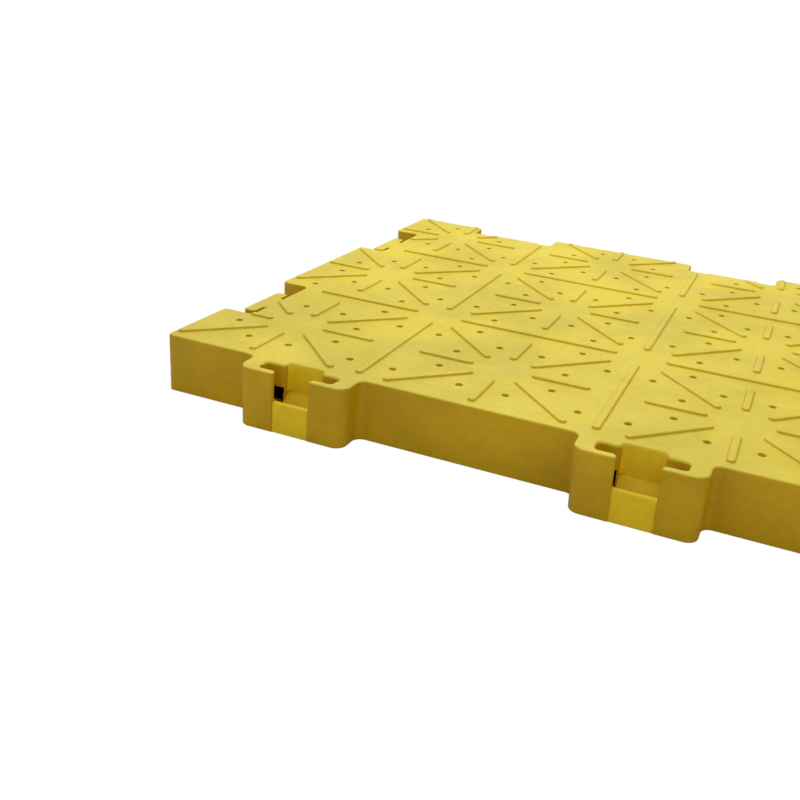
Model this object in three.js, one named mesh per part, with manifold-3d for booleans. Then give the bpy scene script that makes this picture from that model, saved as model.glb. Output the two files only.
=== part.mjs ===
// A low spill containment pallet: an interlocking deck with drain holes, over a shallow sump tray.
// Millimetres, +Z up, origin at the middle of the footprint on the ground. The front is -Y.
import * as THREE from "three";
import { mergeVertices } from "three/addons/utils/BufferGeometryUtils.js";
import Module from "manifold-3d";

const wasm = await Module();
wasm.setup();

// Driving dimensions
const SIDE = 1200; // the square deck, without its bosses
const HEIGHT = 112;
const CELL = SIDE / 2.8; // pitch of the starburst pattern
const PATTERN_Y = 13; // the pattern's middle lies this far behind the deck's middle
const WALL = 8;
const GAP = 0.3; // between pieces that touch
const ARC_STEPS = 3; // facets in each rounded corner

const CONNECTORS = [-302, 302]; // along each side, from its middle
const BOSS = { half: 106, reach: 58, corner: 24, fillet: 14 };
const RECESS = { half: 111, depth: 64, corner: 10, fillet: 12 };
const DECK_CORNER = 12;

const SLOT = { neck: 35.5, wing: 73, lip: 15, shallow: 45, depth: 60, sill: 57, floor: 35, ramp: 30, corner: 6 };
const PORT = { left: 70, right: 38, top: 69 };
const TONGUE = { stem: 32, head: 67, start: 22.5, end: 49, bottom: 59, top: 101, corner: 5 };

const RIB = { width: 18, height: 4.5, near: 0.15, far: 0.37, corner: 0.11, margin: 13 };
const LONG_RIB_MARGIN = { across: 49, along: 30 };
const HOLE = { radius: 6.5, margin: 25, sides: 6 };
const WEB = { thickness: 6, depth: 40 };

const TRAY = { gap: 2, wall: 5, floor: 5, rim: 33 };
const ALCOVE = { half: 24, depth: 14 };
const SUPPORT = { foot: 50, head: 38, wall: 5, sides: 20, weep: 9 };
const SOCKET = { wall: 4, height: 6, slot: 24 };

const DRAIN_Z = 18;
const NOTCH = { half: 24, top: 40 };
const BUSH = { radius: 8.5, bore: 6.7, flange: 13, flangeThick: 3, tail: 13 };
const NUT = { radius: 12.5, thick: 6 };
const GASKET_THICK = 2;
const SEAL_THICK = 1.5;
const PLUG = { shank: 6.4, length: 15, head: 9.8, headThick: 9 };

const HALF = SIDE / 2;
const FACE = -HALF - BOSS.reach; // the front bosses' faces
const PLATE_UNDERSIDE = HEIGHT - WALL;
// The bosses stand out on two sides only, so the footprint's middle is off the deck's middle by this much.
const FOOTPRINT_SHIFT = BOSS.reach / 2;

// Solids

function solid(geometry) {
  const bare = geometry.clone();
  bare.deleteAttribute("normal");
  bare.deleteAttribute("uv");
  const merged = mergeVertices(bare, 1e-4);
  return new wasm.Manifold(
    new wasm.Mesh({
      numProp: 3,
      vertProperties: new Float32Array(merged.attributes.position.array),
      triVerts: new Uint32Array(merged.index.array),
    }),
  );
}

function geometryOf(body) {
  const mesh = body.getMesh();
  const geometry = new THREE.BufferGeometry();
  geometry.setAttribute("position", new THREE.BufferAttribute(mesh.vertProperties, 3));
  geometry.setIndex(new THREE.BufferAttribute(mesh.triVerts, 1));
  return geometry;
}

function prism(points, low, high) {
  const shape = new THREE.Shape(points.map(([x, y]) => new THREE.Vector2(x, y)));
  const geometry = new THREE.ExtrudeGeometry(shape, { depth: high - low, bevelEnabled: false });
  return solid(geometry.translate(0, 0, low));
}

// A prism along X, over points [y, z].
function crossPrism(points, [left, right]) {
  const shape = new THREE.Shape(points.map(([y, z]) => new THREE.Vector2(y, z)));
  const geometry = new THREE.ExtrudeGeometry(shape, { depth: right - left, bevelEnabled: false });
  const onItsSide = new THREE.Matrix4().makeBasis(
    new THREE.Vector3(0, 1, 0),
    new THREE.Vector3(0, 0, 1),
    new THREE.Vector3(1, 0, 0),
  );
  return solid(geometry.applyMatrix4(onItsSide).translate(left, 0, 0));
}

function box(xs, ys, zs) {
  const size = [xs, ys, zs].map(([low, high]) => high - low);
  const middle = [xs, ys, zs].map(([low, high]) => (low + high) / 2);
  return solid(new THREE.BoxGeometry(...size).translate(...middle));
}

// A round or many-sided piece about the drain's axis, from a profile of [radius, distance outwards].
function turnedAboutDrain(profile, sides, face) {
  const outline = profile.map(([radius, along]) => new THREE.Vector2(radius, along));
  return solid(new THREE.LatheGeometry(outline, sides).translate(0, face, DRAIN_Z));
}

const subtractAll = (body, cuts) => cuts.reduce((left, cut) => left.subtract(cut), body);
const addAll = (body, more) => more.reduce((joined, piece) => joined.add(piece), body);

// Outlines, drawn anticlockwise and right-angled

const quarterTurn = ([x, y, radius]) => [-y, x, radius];

// Rounds the corners [x, y, radius] of a right-angled outline and moves its edges inwards by inset.
function rounded(corners, inset = 0) {
  return corners.flatMap(([x, y, radius], i) => {
    const before = corners[(i + corners.length - 1) % corners.length];
    const after = corners[(i + 1) % corners.length];
    const arriving = [Math.sign(x - before[0]), Math.sign(y - before[1])];
    const leaving = [Math.sign(after[0] - x), Math.sign(after[1] - y)];
    const side = arriving[0] * leaving[1] - arriving[1] * leaving[0]; // +1 outer corner, -1 inner corner
    const first = [arriving[1], -arriving[0]];
    const second = [leaving[1], -leaving[0]];
    const centre = [x - side * radius * (first[0] + second[0]), y - side * radius * (first[1] + second[1])];
    const reach = side * Math.max(radius - side * inset, 0);
    const spill = Math.max(side * inset - radius, 0); // an inset past an outer corner's radius leaves it sharp
    const steps = radius > 0 && Math.abs(reach) > 0 ? ARC_STEPS : 0;
    const points = [];
    for (let k = 0; k <= steps; k += 1) {
      const angle = steps ? (k / steps) * (Math.PI / 2) : Math.PI / 4;
      const turn = steps ? [Math.cos(angle), Math.sin(angle)] : [1, 1];
      points.push([
        centre[0] + reach * (turn[0] * first[0] + turn[1] * second[0]) - spill * (first[0] + second[0]),
        centre[1] + reach * (turn[0] * first[1] + turn[1] * second[1]) - spill * (first[1] + second[1]),
      ]);
    }
    return points;
  });
}

function bossCorners(centre) {
  return [
    [centre - BOSS.half, -HALF, BOSS.fillet],
    [centre - BOSS.half, FACE, BOSS.corner],
    [centre + BOSS.half, FACE, BOSS.corner],
    [centre + BOSS.half, -HALF, BOSS.fillet],
  ];
}

function recessCorners(centre) {
  const back = HALF - RECESS.depth;
  return [
    [centre + RECESS.half, HALF, RECESS.corner],
    [centre + RECESS.half, back, RECESS.fillet],
    [centre - RECESS.half, back, RECESS.fillet],
    [centre - RECESS.half, HALF, RECESS.corner],
  ];
}

function alcoveCorners() {
  const back = HALF - ALCOVE.depth;
  return [
    [ALCOVE.half, HALF, 0],
    [ALCOVE.half, back, 0],
    [-ALCOVE.half, back, 0],
    [-ALCOVE.half, HALF, 0],
  ];
}

// Front and right sides carry bosses, back and left sides recesses.
function deckCorners(withBosses) {
  const front = [[-HALF, -HALF, DECK_CORNER], ...(withBosses ? CONNECTORS.flatMap(bossCorners) : [])];
  const back = [[HALF, HALF, DECK_CORNER], ...CONNECTORS.toReversed().flatMap(recessCorners)];
  return [...front, ...front.map(quarterTurn), ...back, ...back.map(quarterTurn)];
}

// The tray follows the deck's walls, and steps in round the drain.
function trayCorners() {
  const corners = deckCorners(false);
  const atBack = corners.findIndex(([x, y]) => x === CONNECTORS[1] - RECESS.half && y === HALF);
  return corners.toSpliced(atBack + 1, 0, ...alcoveCorners());
}

// A slot has a mouth in the boss's face, a wing on each side behind the lips, and a deeper middle.
function slotCorners(centre) {
  const { neck, wing, corner } = SLOT;
  const [lip, shallow, depth] = [SLOT.lip, SLOT.shallow, SLOT.depth].map((reach) => FACE + reach);
  return [
    [centre - neck, FACE - WALL, 0],
    [centre + neck, FACE - WALL, 0],
    [centre + neck, lip, corner],
    [centre + wing, lip, corner],
    [centre + wing, shallow, corner],
    [centre + neck, shallow, corner],
    [centre + neck, depth, corner],
    [centre - neck, depth, corner],
    [centre - neck, shallow, corner],
    [centre - wing, shallow, corner],
    [centre - wing, lip, corner],
    [centre - neck, lip, corner],
  ];
}

// A tongue has a stem rooted in the recess's wall, and a wider head that fits the wings of a slot.
function tongueCorners(centre) {
  const wall = HALF - RECESS.depth;
  const { stem, head, corner } = TONGUE;
  return [
    [centre - stem, wall - WALL / 2, 0],
    [centre + stem, wall - WALL / 2, 0],
    [centre + stem, wall + TONGUE.start, corner],
    [centre + head, wall + TONGUE.start, corner],
    [centre + head, wall + TONGUE.end, corner],
    [centre - head, wall + TONGUE.end, corner],
    [centre - head, wall + TONGUE.start, corner],
    [centre - stem, wall + TONGUE.start, corner],
  ];
}

// The starburst pattern, shared by ribs, drain holes and supports

const CELL_CENTRES = [-1, 0, 1].flatMap((row) =>
  [-1, 0, 1].map((column) => [column * CELL, PATTERN_Y + row * CELL]),
);
const DECK_EDGE = rounded(deckCorners(false));

// How far a point lies inside the deck's edge, or -1 outside it.
function depthInside([x, y]) {
  let inside = false;
  let nearest = Infinity;
  DECK_EDGE.forEach(([x1, y1], i) => {
    const [x2, y2] = DECK_EDGE[(i + 1) % DECK_EDGE.length];
    if (y1 > y !== y2 > y && x < x1 + ((y - y1) / (y2 - y1)) * (x2 - x1)) inside = !inside;
    const along = ((x - x1) * (x2 - x1) + (y - y1) * (y2 - y1)) / ((x2 - x1) ** 2 + (y2 - y1) ** 2);
    const t = Math.min(Math.max(along, 0), 1);
    nearest = Math.min(nearest, Math.hypot(x - x1 - t * (x2 - x1), y - y1 - t * (y2 - y1)));
  });
  return inside ? nearest : -1;
}

// Shortens a rib's centre line from either end until it keeps its margin to the deck's edge.
function trimmed([from, to], margin) {
  const steps = 60;
  const at = (k) => [0, 1].map((axis) => from[axis] + ((to[axis] - from[axis]) * k) / steps);
  const clear = Array.from({ length: steps + 1 }, (_, k) => k).filter((k) => depthInside(at(k)) >= margin);
  return clear.length ? [at(clear[0]), at(clear.at(-1))] : null;
}

function starRibs([x, y]) {
  const near = RIB.near * CELL;
  const far = RIB.far * CELL;
  const corner = RIB.corner * CELL;
  const ribs = [];
  for (const sign of [-1, 1]) {
    ribs.push([[x + sign * near, y], [x + sign * far, y]]);
    ribs.push([[x, y + sign * near], [x, y + sign * far]]);
    for (const other of [-1, 1])
      ribs.push([[x + sign * corner, y + other * corner], [x + sign * far, y + other * far]]);
  }
  return ribs.map((rib) => trimmed(rib, RIB.margin));
}

function borderRibs([x, y]) {
  const far = RIB.far * CELL;
  const ribs = [];
  if (y < CELL / 2)
    ribs.push(trimmed([[x - far, y + CELL / 2], [x + far, y + CELL / 2]], LONG_RIB_MARGIN.across));
  if (x < CELL / 2)
    ribs.push(trimmed([[x + CELL / 2, y - far], [x + CELL / 2, y + far]], LONG_RIB_MARGIN.along));
  return ribs;
}

function ribSolid([from, to]) {
  const length = Math.hypot(to[0] - from[0], to[1] - from[1]);
  const bar = new THREE.BoxGeometry(length + RIB.width, RIB.width, 2 * RIB.height);
  bar.rotateZ(Math.atan2(to[1] - from[1], to[0] - from[0]));
  bar.translate((from[0] + to[0]) / 2, (from[1] + to[1]) / 2, HEIGHT);
  return solid(bar);
}

function holeCentres([x, y]) {
  const places = [];
  for (const [a, b] of [[0.1, 0.25], [0.4, 0.25], [0.25, 0.1], [0.25, 0.4]])
    for (const s of [-1, 1]) for (const t of [-1, 1]) places.push([x + s * a * CELL, y + t * b * CELL]);
  return places.filter((place) => depthInside(place) >= HOLE.margin);
}

function holeSolid([x, y]) {
  const drill = new THREE.CylinderGeometry(HOLE.radius, HOLE.radius, 3 * WALL, HOLE.sides);
  return solid(drill.rotateX(Math.PI / 2).translate(x, y, PLATE_UNDERSIDE + WALL / 2));
}

// Pieces

// Hollow under each boss, below the slot's floor.
function bossHollow(centre) {
  const half = BOSS.half - WALL;
  const corner = BOSS.corner - WALL;
  const corners = [
    [centre - half, -HALF, 0],
    [centre - half, FACE + WALL, corner],
    [centre + half, FACE + WALL, corner],
    [centre + half, -HALF, 0],
  ];
  return prism(rounded(corners), -WALL, SLOT.floor - WALL);
}

// The slot takes a neighbour's tongue above its sill. Below the sill a trough runs behind the front panel from
// wing to wing, and in the middle a ramp rises out of it to the slot's back.
function slotSolid(centre) {
  const { neck, wing, lip, shallow, depth, sill, floor, ramp, corner } = SLOT;
  const across = [centre - neck, centre + neck];
  const troughCorners = [
    [centre - wing, FACE + lip, corner],
    [centre + wing, FACE + lip, corner],
    [centre + wing, FACE + shallow, corner],
    [centre - wing, FACE + shallow, corner],
  ];
  const foot = [FACE + ramp, floor];
  const crest = [FACE + depth, sill];
  const underRamp = crossPrism([foot, [FACE + ramp, floor - 1], [FACE + depth, floor - 1], crest], across);
  const overRamp = crossPrism([foot, crest, [FACE + depth, sill + 1], [FACE + ramp, sill + 1]], across);
  const trough = prism(rounded(troughCorners), floor, sill + 1).subtract(underRamp);
  return addAll(prism(rounded(slotCorners(centre)), sill, HEIGHT + WALL), [trough, overRamp]);
}

// The port drains the slot's left wing through the deck's wall into the space above the tray.
function portSolid(centre) {
  const xs = [centre - PORT.left, centre - PORT.right];
  return box(xs, [FACE + SLOT.shallow - 1, -HALF + 2 * WALL], [SLOT.floor, PORT.top]);
}

function frontAndRight(make) {
  return CONNECTORS.map(make).flatMap((cut) => [cut, cut.rotate([0, 0, 90])]);
}

// The space under the deck's plate: one low cavity, and nine bays between the stiffening webs.
function deckCavity() {
  const webBottom = PLATE_UNDERSIDE - WEB.depth;
  const inner = rounded(deckCorners(false), WALL);
  const low = prism(inner, -WALL, webBottom);
  const full = prism(inner, webBottom - 1, PLATE_UNDERSIDE);
  const webs = [-CELL / 2, CELL / 2].flatMap((place) => [
    box([place - WEB.thickness / 2, place + WEB.thickness / 2], [-HALF, HALF], [webBottom, HEIGHT]),
    box(
      [-HALF, HALF],
      [PATTERN_Y + place - WEB.thickness / 2, PATTERN_Y + place + WEB.thickness / 2],
      [webBottom, HEIGHT],
    ),
  ]);
  return low.add(subtractAll(full, webs));
}

function deckSolid() {
  const slots = frontAndRight(slotSolid);
  const ports = frontAndRight(portSolid);
  const hollows = frontAndRight(bossHollow);
  const tongues = CONNECTORS.map((c) => prism(rounded(tongueCorners(c)), TONGUE.bottom, TONGUE.top));
  const ribs = CELL_CENTRES.flatMap((c) => [...starRibs(c), ...borderRibs(c)]).filter(Boolean);
  const holes = CELL_CENTRES.flatMap(holeCentres);
  const notch = box([-NOTCH.half, NOTCH.half], [HALF - 2 * WALL, HALF + WALL], [-WALL, NOTCH.top]);

  const shell = subtractAll(prism(rounded(deckCorners(true)), 0, HEIGHT), [deckCavity(), notch]);
  const worked = subtractAll(shell, [...slots, ...ports, ...hollows]);
  const tongued = addAll(worked, tongues.flatMap((t) => [t, t.rotate([0, 0, 90])]));
  return subtractAll(addAll(tongued, ribs.map(ribSolid)), holes.map(holeSolid));
}

function socketSolid([x, y]) {
  const inner = SUPPORT.foot + GAP;
  const outer = inner + SOCKET.wall;
  const top = TRAY.floor + SOCKET.height;
  const profile = [[inner, 1], [outer, 1], [outer, top], [inner, top], [inner, 1]];
  const ring = new THREE.LatheGeometry(
    profile.map(([radius, z]) => new THREE.Vector2(radius, z)),
    SUPPORT.sides,
  );
  const half = SOCKET.slot / 2;
  const gaps = [
    box([-2 * outer, 2 * outer], [-half, half], [TRAY.floor - 1, top + 1]),
    box([-half, half], [-2 * outer, 2 * outer], [TRAY.floor - 1, top + 1]),
  ];
  return subtractAll(solid(ring.rotateX(Math.PI / 2)), gaps).translate([x, y, 0]);
}

function traySolid() {
  const inset = WALL + TRAY.gap;
  const outside = prism(rounded(trayCorners(), inset), 0, TRAY.rim);
  const inside = prism(rounded(trayCorners(), inset + TRAY.wall), TRAY.floor, TRAY.rim + 1);
  const drill = turnedAboutDrain(tube(0, BUSH.radius + GAP, -2 * WALL, WALL), 16, ALCOVE_FACE);
  return addAll(outside.subtract(inside), CELL_CENTRES.map(socketSolid)).subtract(drill);
}

// A hollow column, open at its foot, with weep notches that let the liquid in.
function supportGeometry() {
  const { foot, head, wall, sides, weep } = SUPPORT;
  const tall = PLATE_UNDERSIDE - TRAY.floor - 2 * GAP;
  const profile = [
    [0, tall - wall],
    [head - wall, tall - wall],
    [foot - wall, 0],
    [foot, 0],
    [head, tall],
    [0, tall],
  ];
  const column = new THREE.LatheGeometry(
    profile.map(([radius, z]) => new THREE.Vector2(radius, z)),
    sides,
  );
  const notches = [
    box([-2 * foot, 2 * foot], [-weep, weep], [-1, weep]),
    box([-weep, weep], [-2 * foot, 2 * foot], [-1, weep]),
  ];
  return geometryOf(subtractAll(solid(column.rotateX(Math.PI / 2)), notches));
}

const ALCOVE_FACE = HALF - WALL - TRAY.gap - ALCOVE.depth;
const FLANGE_BACK = ALCOVE_FACE + GAP + GASKET_THICK + GAP;
const SEAL_BACK = FLANGE_BACK + BUSH.flangeThick + GAP;
const HEAD_BACK = SEAL_BACK + SEAL_THICK + GAP;

// A closed ring profile between two radii and two places along the axis, or a disc where inner is 0.
function tube(inner, outer, low, high) {
  const corners = [[inner, low], [outer, low], [outer, high], [inner, high]];
  return inner > 0 ? [...corners, corners[0]] : corners;
}

function bushSolid() {
  const { radius, bore, flange, flangeThick, tail } = BUSH;
  const profile = [
    [bore, -tail],
    [radius, -tail],
    [radius, 0],
    [flange, 0],
    [flange, flangeThick],
    [bore, flangeThick],
    [bore, -tail],
  ];
  return turnedAboutDrain(profile, 24, FLANGE_BACK);
}

function nutSolid() {
  const nut = turnedAboutDrain(tube(0, NUT.radius, -NUT.thick - GAP, -GAP), 6, ALCOVE_FACE - TRAY.wall);
  const bore = tube(0, BUSH.radius + GAP, -3 * NUT.thick, NUT.thick);
  return nut.subtract(turnedAboutDrain(bore, 24, ALCOVE_FACE - TRAY.wall));
}

function plugSolid() {
  const { shank, length, head, headThick } = PLUG;
  const screw = turnedAboutDrain(tube(0, shank, -length, 1), 24, HEAD_BACK);
  return screw.add(turnedAboutDrain(tube(0, head, 0, headThick), 6, HEAD_BACK));
}

// The assembly

const YELLOW = new THREE.MeshStandardMaterial({ color: 0xd8c33c, roughness: 0.55, metalness: 0 });
const BLACK = new THREE.MeshStandardMaterial({ color: 0x1c1c1e, roughness: 0.6, metalness: 0 });
const RUBBER = new THREE.MeshStandardMaterial({ color: 0x101010, roughness: 0.85, metalness: 0 });

const pallet = new THREE.Group();
pallet.position.set(-FOOTPRINT_SHIFT, FOOTPRINT_SHIFT, 0);

function place(name, geometry, material, position = [0, 0, 0]) {
  const mesh = new THREE.Mesh(geometry, material);
  mesh.name = name;
  mesh.position.set(...position);
  pallet.add(mesh);
}

place("sump_tray", geometryOf(traySolid()), BLACK);
CELL_CENTRES.forEach(([x, y], i) =>
  place(`support_${i + 1}`, supportGeometry(), BLACK, [x, y, TRAY.floor + GAP]),
);
const gasketRing = tube(BUSH.radius + GAP, BUSH.flange, GAP, GAP + GASKET_THICK);
place("bush_gasket", geometryOf(turnedAboutDrain(gasketRing, 24, ALCOVE_FACE)), RUBBER);
place("drain_bush", geometryOf(bushSolid()), BLACK);
place("bush_nut", geometryOf(nutSolid()), BLACK);
const sealRing = tube(PLUG.shank + GAP, PLUG.head - 1, 0, SEAL_THICK);
place("plug_seal", geometryOf(turnedAboutDrain(sealRing, 24, SEAL_BACK)), RUBBER);
place("drain_plug", geometryOf(plugSolid()), BLACK);
place("deck", geometryOf(deckSolid()), YELLOW);

export default pallet;
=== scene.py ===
"""A low spill containment pallet: an interlocking yellow deck over a black sump tray.

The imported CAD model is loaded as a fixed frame. Each operator builds the fine mesh of one piece, or of
a group of like pieces, in the place of its CAD node. Lengths are metres, and the front of the pallet is
-Y.
"""

import math

import bmesh
import bpy
from bpy.props import FloatProperty, FloatVectorProperty, IntProperty, PointerProperty
from bpy.types import Operator, Panel, PropertyGroup
from mathutils import Matrix, Vector
from mathutils.geometry import delaunay_2d_cdt


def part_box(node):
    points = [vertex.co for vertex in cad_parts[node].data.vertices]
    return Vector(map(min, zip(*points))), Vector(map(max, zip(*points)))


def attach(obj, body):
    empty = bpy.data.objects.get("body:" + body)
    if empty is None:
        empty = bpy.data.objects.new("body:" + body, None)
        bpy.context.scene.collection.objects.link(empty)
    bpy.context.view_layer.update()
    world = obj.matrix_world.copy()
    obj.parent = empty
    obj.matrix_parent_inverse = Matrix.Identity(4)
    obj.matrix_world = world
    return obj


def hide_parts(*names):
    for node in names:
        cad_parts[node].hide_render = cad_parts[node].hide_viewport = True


bl_info = {
    "name": "Spill containment pallet",
    "version": (1, 0, 0),
    "blender": (4, 5, 0),
    "location": "3D View > Sidebar > Spill pallet",
    "description": "Builds an interlocking spill deck, its sump tray, supports and drain",
    "category": "Object",
}

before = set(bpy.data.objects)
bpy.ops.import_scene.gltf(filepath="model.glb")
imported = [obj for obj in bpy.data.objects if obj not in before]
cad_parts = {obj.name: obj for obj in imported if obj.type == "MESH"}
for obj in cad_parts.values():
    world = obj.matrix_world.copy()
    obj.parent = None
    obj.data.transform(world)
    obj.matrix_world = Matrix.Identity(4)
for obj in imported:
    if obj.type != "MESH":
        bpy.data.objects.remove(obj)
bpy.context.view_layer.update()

TRAY_LOW, TRAY_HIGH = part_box("sump_tray")
DECK_LOW, DECK_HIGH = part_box("deck")
SUPPORTS = [f"support_{number}" for number in range(1, 10)]
ACROSS = "XYZ".index("X")
AWAY = "XYZ".index("Y")
UP = "XYZ".index("Z")


def middle_of(node):
    """The middle of a CAD node's box."""
    low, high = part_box(node)
    return (Vector(low) + Vector(high)) / 2


MIDDLE = middle_of("sump_tray")
LAP = 0.001  # how far one cutting tool reaches past the next
SLIVER = 1e-4
LEAD_SINK = 0.0006  # how far the wide lead starts inside the slot
CORNER_ROOM = 2.1  # the least length that two rounded corners fit in, in radii
PAST_SLOT = 1.02  # just past the slot's back, in slot depths
BORE_FACET = 4e-5  # square metres, more than any facet of a drain hole
PANEL_BACK_ROUND = 0.75  # the panel's back edge against its front edge
SOCKET_PLAY = 0.0015
BORE_SHARE = 0.68  # the drill for the bush, against its flange
RIB_SECTION = ((1.0, 0.0), (0.91, 0.07), (0.82, 0.27), (0.75, 0.56), (0.67, 0.82), (0.54, 0.96), (0.38, 1.0))
RIM_TURNS = (0.0, 0.52, 1.05, 1.571)
HUBS = [middle_of(name) for name in SUPPORTS]
CELL = HUBS[1].x - HUBS[0].x
DRAIN_AXIS = middle_of("drain_plug")


# Sizes and colours that a user would change


def length(name, description, default):
    """A length in metres."""
    return FloatProperty(
        name=name, description=description, default=default, min=0.0, unit="LENGTH", precision=4
    )


def share(name, description, default, low=0.0, high=1.0):
    """A plain number between two limits."""
    return FloatProperty(name=name, description=description, default=default, min=low, max=high)


def colour(name, description, default):
    """A linear colour."""
    return FloatVectorProperty(
        name=name, description=description, default=default, size=3, min=0.0, max=1.0, subtype="COLOR"
    )


class SPILL_PG_deck(PropertyGroup):
    """The deck's moulding, apart from its connectors and its pattern."""

    wall: length("Wall", "Thickness of the walls and of the top plate", 0.008)
    tray_gap: length("Tray gap", "Space between the deck's walls and the tray", 0.002)
    corner: length("Corner", "Radius of the deck's upright corners", 0.012)
    edge: length("Edge", "Rounding of the upper edge", 0.0038)
    foot: length("Foot", "Rounding of the walls' foot", 0.0015)
    lean: length("Lean", "How far the walls lean in at their foot", 0.003)
    web: length("Web", "Thickness of the stiffening webs under the plate", 0.006)
    web_depth: length("Web depth", "How far the webs hang below the plate", 0.040)
    notch_half: length("Notch half width", "Half the width of the opening for the drain", 0.024)
    notch_top: length("Notch top", "Height of the opening for the drain", 0.040)


class SPILL_PG_connector(PropertyGroup):
    """Slotted bosses on the front and right, and recesses with tongues on the back and left."""

    offset: length("Offset", "From the middle of a side to each connector", 0.302)
    boss_half: length("Boss half width", "Half the width of a boss", 0.106)
    boss_reach: length("Boss reach", "How far a boss stands out", 0.058)
    boss_corner: length("Boss corner", "Radius of a boss's outer corners", 0.024)
    boss_fillet: length("Boss fillet", "Radius where a boss meets the wall", 0.014)
    recess_half: length("Recess half width", "Half the width of a recess", 0.111)
    recess_depth: length("Recess depth", "How far a recess goes in", 0.064)
    recess_corner: length("Recess corner", "Radius at a recess's mouth", 0.010)
    recess_fillet: length("Recess fillet", "Radius at a recess's back", 0.012)
    neck: length("Slot neck", "Half the width of the slot's mouth", 0.0355)
    wing: length("Slot wing", "Half the width of the slot behind its lips", 0.073)
    lip: length("Slot lip", "Thickness of the lips", 0.015)
    depth: length("Slot depth", "From the boss's face to the slot's back", 0.060)
    shallow: length("Wing depth", "From the boss's face to the back of the wings", 0.045)
    sill: length("Sill", "Height of the panel under the slot's mouth", 0.057)
    trough: length("Trough", "Height of the trough's floor behind that panel", 0.035)
    ramp: length("Ramp", "From the boss's face to the foot of the ramp out of the trough", 0.030)
    inner: length("Inner corner", "Radius of the upright corners inside the slot", 0.008)
    mouth: length("Mouth corner", "Radius of the lips' front corners", 0.004)
    lead: length("Lead", "Rounding of the slot's upper edge", 0.003)
    wide_lead: length("Wide lead", "Rounding of the slot's upper edge at the back", 0.007)
    panel_set: length("Panel set back", "How far the panel under the mouth lies behind the lips", 0.0022)
    panel_round: length("Panel rounding", "Rounding of that panel's upper edge", 0.004)
    port_left: length("Port left", "From the slot's middle to the port's far side", 0.070)
    port_right: length("Port right", "From the slot's middle to the port's near side", 0.038)
    port_top: length("Port top", "Height of the port's upper edge", 0.069)
    stem: length("Tongue stem", "Half the width of a tongue's stem", 0.032)
    head: length("Tongue head", "Half the width of a tongue's head", 0.067)
    head_start: length("Head start", "From the recess's back to the head", 0.0225)
    head_end: length("Head end", "From the recess's back to the tongue's face", 0.049)
    tongue_bottom: length("Tongue bottom", "Height of the tongue's underside", 0.059)
    tongue_top: length("Tongue top", "Height of the tongue's upper face", 0.101)
    tongue_edge: length("Tongue edge", "Rounding of the tongue's edges", 0.002)


class SPILL_PG_pattern(PropertyGroup):
    """The starburst of ribs and drain holes. Places are shares of a cell's side."""

    rib_foot: length("Rib foot", "Half the width of a rib where it meets the plate", 0.0090)
    rib_height: length("Rib height", "Height of the ribs", 0.0045)
    near: share("Near", "Where the short ribs begin", 0.15)
    far: share("Far", "Where the ribs end", 0.37)
    diagonal: share("Diagonal", "Where the diagonal ribs begin", 0.11)
    margin: length("Margin", "From a star's rib to the deck's edge", 0.013)
    margin_across: length("Margin across", "From the end of a long rib across to the deck's edge", 0.049)
    margin_along: length("Margin along", "From the end of a long rib running back to the deck's edge", 0.030)
    hole: length("Hole radius", "Radius of a drain hole", 0.0065)
    hole_rim: length("Hole rim", "Rounding of a drain hole's rim", 0.0014)
    hole_margin: length("Hole margin", "From a drain hole's middle to the deck's edge", 0.025)
    hole_inner: share("Hole inner", "Where the inner ring of holes lies", 0.10)
    hole_middle: share("Hole middle", "Where both rings of holes lie", 0.25)
    hole_outer: share("Hole outer", "Where the outer ring of holes lies", 0.40)


class SPILL_PG_sump(PropertyGroup):
    """The tray and the load supports that stand in it."""

    wall: length("Tray wall", "Thickness of the tray's walls and floor", 0.005)
    edge: length("Tray edge", "Rounding of the tray's edges", 0.0015)
    alcove_half: length("Alcove half width", "Half the width of the step round the drain", 0.024)
    alcove_depth: length("Alcove depth", "How far the step round the drain goes in", 0.014)
    socket_wall: length("Socket wall", "Thickness of the ring that holds a support", 0.004)
    socket_height: length("Socket height", "Height of that ring", 0.006)
    socket_slot: length("Socket slot", "Width of the gaps in that ring", 0.024)
    support_wall: length("Support wall", "Thickness of a support's wall", 0.005)
    support_head: length("Support head", "Radius of a support's flat head", 0.038)
    weep: length("Weep notch", "Half the width of a support's weep notches", 0.009)
    flutes: IntProperty(name="Flutes", description="Shallow flutes round a support", default=14, min=3)
    flute_depth: length("Flute depth", "Depth of those flutes", 0.0022)


class SPILL_PG_finish(PropertyGroup):
    """Colours, and how strongly they vary."""

    walls: colour("Walls", "Yellow of the deck's upright faces", (0.560, 0.340, 0.003))
    # Painted fill light: a lighter yellow laid on the faces inside the slots and drain holes.
    painted_fill_light: colour("Rubbed", "Lighter yellow, rubbed clean in the slots and holes", (0.860, 0.600, 0.012))
    # Painted sheen: a paler yellow laid on the upper face for the light that falls on it.
    top: colour("Top", "Paler, sun-faded yellow of the deck's upper face", (0.690, 0.545, 0.036))
    # Painted shade and dirt: the colour laid into corners and crevices by ambient occlusion.
    corner_shade_and_grime: colour("Grime", "Colour of the dirt held in corners", (0.330, 0.180, 0.004))
    tray: colour("Tray", "Black of the tray and supports", (0.020, 0.020, 0.022))
    fitting: colour("Fitting", "Black of the drain fitting", (0.012, 0.012, 0.013))
    rubber: colour("Rubber", "Black of the seals", (0.018, 0.017, 0.016))
    mottle: share("Mottle", "How much the yellow varies", 0.10)
    roughness: share("Roughness", "Roughness of the moulded yellow", 0.46)


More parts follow.
